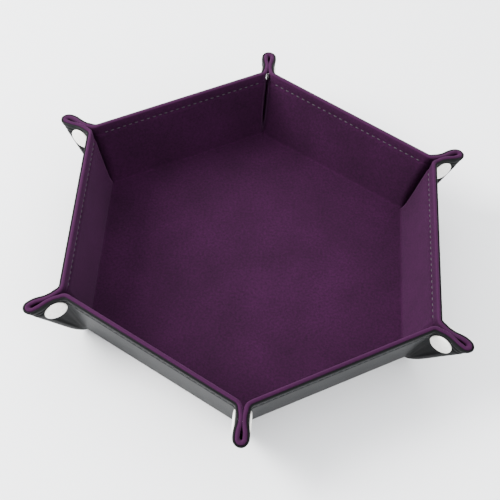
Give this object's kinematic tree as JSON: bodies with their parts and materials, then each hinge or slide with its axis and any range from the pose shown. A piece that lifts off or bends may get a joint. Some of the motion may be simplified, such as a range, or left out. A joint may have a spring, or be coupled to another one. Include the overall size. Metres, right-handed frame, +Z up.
{
  "type": "folding dice tray",
  "caption": "Hexagonal tray that folds flat: velvet-lined boarded walls stand up round a boarded floor and are held by snap-fastened corner ears.",
  "frame": {"origin": "centre of the hexagon, on the underside of the floor cover, which rests on the table", "axes": "+Z up out of the tray; +Y towards a corner; +X towards the middle of a wall"},
  "size_m": [0.2314, 0.2648, 0.0431],
  "materials": {
    "leatherette": "fine pebble grain, satin black",
    "board": "matt grey board",
    "velvet": "short-pile deep purple velvet",
    "snap_cap": "smooth pale satin",
    "snap_metal": "bright plated"
  },
  "bodies": {
    "floor": {"floor_leather_cover": "leatherette", "floor_stiffener_board": "board", "floor_velvet_lining": "velvet"},
    "wall_1": {"wall_1_leather_cover": "leatherette", "wall_1_stiffener_board": "board", "wall_1_velvet_lining": "velvet"},
    "wall_2": {"wall_2_leather_cover": "leatherette", "wall_2_stiffener_board": "board", "wall_2_velvet_lining": "velvet"},
    "wall_3": {"wall_3_leather_cover": "leatherette", "wall_3_stiffener_board": "board", "wall_3_velvet_lining": "velvet"},
    "wall_4": {"wall_4_leather_cover": "leatherette", "wall_4_stiffener_board": "board", "wall_4_velvet_lining": "velvet"},
    "wall_5": {"wall_5_leather_cover": "leatherette", "wall_5_stiffener_board": "board", "wall_5_velvet_lining": "velvet"},
    "wall_6": {"wall_6_leather_cover": "leatherette", "wall_6_stiffener_board": "board", "wall_6_velvet_lining": "velvet"},
    "corner_1_right_web": {"corner_1_right_web": "leatherette", "corner_1_right_snap_cap": "snap_cap", "corner_1_snap_socket": "snap_metal"},
    "corner_1_left_web": {"corner_1_left_web": "leatherette", "corner_1_left_snap_cap": "snap_cap", "corner_1_snap_stud": "snap_metal"},
    "corner_2_right_web": {"corner_2_right_web": "leatherette", "corner_2_right_snap_cap": "snap_cap", "corner_2_snap_socket": "snap_metal"},
    "corner_2_left_web": {"corner_2_left_web": "leatherette", "corner_2_left_snap_cap": "snap_cap", "corner_2_snap_stud": "snap_metal"},
    "corner_3_right_web": {"corner_3_right_web": "leatherette", "corner_3_right_snap_cap": "snap_cap", "corner_3_snap_socket": "snap_metal"},
    "corner_3_left_web": {"corner_3_left_web": "leatherette", "corner_3_left_snap_cap": "snap_cap", "corner_3_snap_stud": "snap_metal"},
    "corner_4_right_web": {"corner_4_right_web": "leatherette", "corner_4_right_snap_cap": "snap_cap", "corner_4_snap_socket": "snap_metal"},
    "corner_4_left_web": {"corner_4_left_web": "leatherette", "corner_4_left_snap_cap": "snap_cap", "corner_4_snap_stud": "snap_metal"},
    "corner_5_right_web": {"corner_5_right_web": "leatherette", "corner_5_right_snap_cap": "snap_cap", "corner_5_snap_socket": "snap_metal"},
    "corner_5_left_web": {"corner_5_left_web": "leatherette", "corner_5_left_snap_cap": "snap_cap", "corner_5_snap_stud": "snap_metal"},
    "corner_6_right_web": {"corner_6_right_web": "leatherette", "corner_6_right_snap_cap": "snap_cap", "corner_6_snap_socket": "snap_metal"},
    "corner_6_left_web": {"corner_6_left_web": "leatherette", "corner_6_left_snap_cap": "snap_cap", "corner_6_snap_stud": "snap_metal"}
  },
  "joints": [
    {"name": "wall_1_fold", "type": "hinge", "parent": "floor", "child": "wall_1", "pos_m": [0.0435, 0.07534, 0.001], "axis": [-0.866, 0.5, 0], "range_deg": [0, 74]},
    {"name": "wall_2_fold", "type": "hinge", "parent": "floor", "child": "wall_2", "pos_m": [-0.0435, 0.07534, 0.001], "axis": [-0.866, -0.5, 0], "range_deg": [0, 74]},
    {"name": "wall_3_fold", "type": "hinge", "parent": "floor", "child": "wall_3", "pos_m": [-0.087, 0, 0.001], "axis": [0, -1, 0], "range_deg": [0, 74]},
    {"name": "wall_4_fold", "type": "hinge", "parent": "floor", "child": "wall_4", "pos_m": [-0.0435, -0.07534, 0.001], "axis": [0.866, -0.5, 0], "range_deg": [0, 74]},
    {"name": "wall_5_fold", "type": "hinge", "parent": "floor", "child": "wall_5", "pos_m": [0.0435, -0.07534, 0.001], "axis": [0.866, 0.5, 0], "range_deg": [0, 74]},
    {"name": "wall_6_fold", "type": "hinge", "parent": "floor", "child": "wall_6", "pos_m": [0.087, 0, 0.001], "axis": [0, 1, 0], "range_deg": [0, 74]},
    {"name": "corner_1_right_crease", "type": "hinge", "parent": "wall_1", "child": "corner_1_right_web", "pos_m": [0.08386, 0.05315, 0.00072], "axis": [-0.2722, -0.1572, -0.9493], "range_deg": [0, 61.27]},
    {"name": "corner_1_left_crease", "type": "hinge", "parent": "wall_6", "child": "corner_1_left_web", "pos_m": [0.08796, 0.04605, 0.00072], "axis": [0.2722, 0.1572, 0.9493], "range_deg": [0, 61.27]},
    {"name": "corner_2_right_crease", "type": "hinge", "parent": "wall_2", "child": "corner_2_right_web", "pos_m": [-0.0041, 0.0992, 0.00072], "axis": [0, -0.3143, -0.9493], "range_deg": [0, 61.27]},
    {"name": "corner_2_left_crease", "type": "hinge", "parent": "wall_1", "child": "corner_2_left_web", "pos_m": [0.0041, 0.0992, 0.00072], "axis": [0, 0.3143, 0.9493], "range_deg": [0, 61.27]},
    {"name": "corner_3_right_crease", "type": "hinge", "parent": "wall_3", "child": "corner_3_right_web", "pos_m": [-0.08796, 0.04605, 0.00072], "axis": [0.2722, -0.1572, -0.9493], "range_deg": [0, 61.27]},
    {"name": "corner_3_left_crease", "type": "hinge", "parent": "wall_2", "child": "corner_3_left_web", "pos_m": [-0.08386, 0.05315, 0.00072], "axis": [-0.2722, 0.1572, 0.9493], "range_deg": [0, 61.27]},
    {"name": "corner_4_right_crease", "type": "hinge", "parent": "wall_4", "child": "corner_4_right_web", "pos_m": [-0.08386, -0.05315, 0.00072], "axis": [0.2722, 0.1572, -0.9493], "range_deg": [0, 61.27]},
    {"name": "corner_4_left_crease", "type": "hinge", "parent": "wall_3", "child": "corner_4_left_web", "pos_m": [-0.08796, -0.04605, 0.00072], "axis": [-0.2722, -0.1572, 0.9493], "range_deg": [0, 61.27]},
    {"name": "corner_5_right_crease", "type": "hinge", "parent": "wall_5", "child": "corner_5_right_web", "pos_m": [0.0041, -0.0992, 0.00072], "axis": [0, 0.3143, -0.9493], "range_deg": [0, 61.27]},
    {"name": "corner_5_left_crease", "type": "hinge", "parent": "wall_4", "child": "corner_5_left_web", "pos_m": [-0.0041, -0.0992, 0.00072], "axis": [0, -0.3143, 0.9493], "range_deg": [0, 61.27]},
    {"name": "corner_6_right_crease", "type": "hinge", "parent": "wall_6", "child": "corner_6_right_web", "pos_m": [0.08796, -0.04605, 0.00072], "axis": [-0.2722, 0.1572, -0.9493], "range_deg": [0, 61.27]},
    {"name": "corner_6_left_crease", "type": "hinge", "parent": "wall_5", "child": "corner_6_left_web", "pos_m": [0.08386, -0.05315, 0.00072], "axis": [0.2722, -0.1572, 0.9493], "range_deg": [0, 61.27]}
  ],
  "couplings": [
    {"joint": "wall_2_fold", "follows": "wall_1_fold", "ratio": 1},
    {"joint": "wall_3_fold", "follows": "wall_1_fold", "ratio": 1},
    {"joint": "wall_4_fold", "follows": "wall_1_fold", "ratio": 1},
    {"joint": "wall_5_fold", "follows": "wall_1_fold", "ratio": 1},
    {"joint": "wall_6_fold", "follows": "wall_1_fold", "ratio": 1},
    {"joint": "corner_1_right_crease", "follows": "wall_1_fold", "ratio": 0.82802},
    {"joint": "corner_1_left_crease", "follows": "wall_1_fold", "ratio": 0.82802},
    {"joint": "corner_2_right_crease", "follows": "wall_1_fold", "ratio": 0.82802},
    {"joint": "corner_2_left_crease", "follows": "wall_1_fold", "ratio": 0.82802},
    {"joint": "corner_3_right_crease", "follows": "wall_1_fold", "ratio": 0.82802},
    {"joint": "corner_3_left_crease", "follows": "wall_1_fold", "ratio": 0.82802},
    {"joint": "corner_4_right_crease", "follows": "wall_1_fold", "ratio": 0.82802},
    {"joint": "corner_4_left_crease", "follows": "wall_1_fold", "ratio": 0.82802},
    {"joint": "corner_5_right_crease", "follows": "wall_1_fold", "ratio": 0.82802},
    {"joint": "corner_5_left_crease", "follows": "wall_1_fold", "ratio": 0.82802},
    {"joint": "corner_6_right_crease", "follows": "wall_1_fold", "ratio": 0.82802},
    {"joint": "corner_6_left_crease", "follows": "wall_1_fold", "ratio": 0.82802}
  ]
}
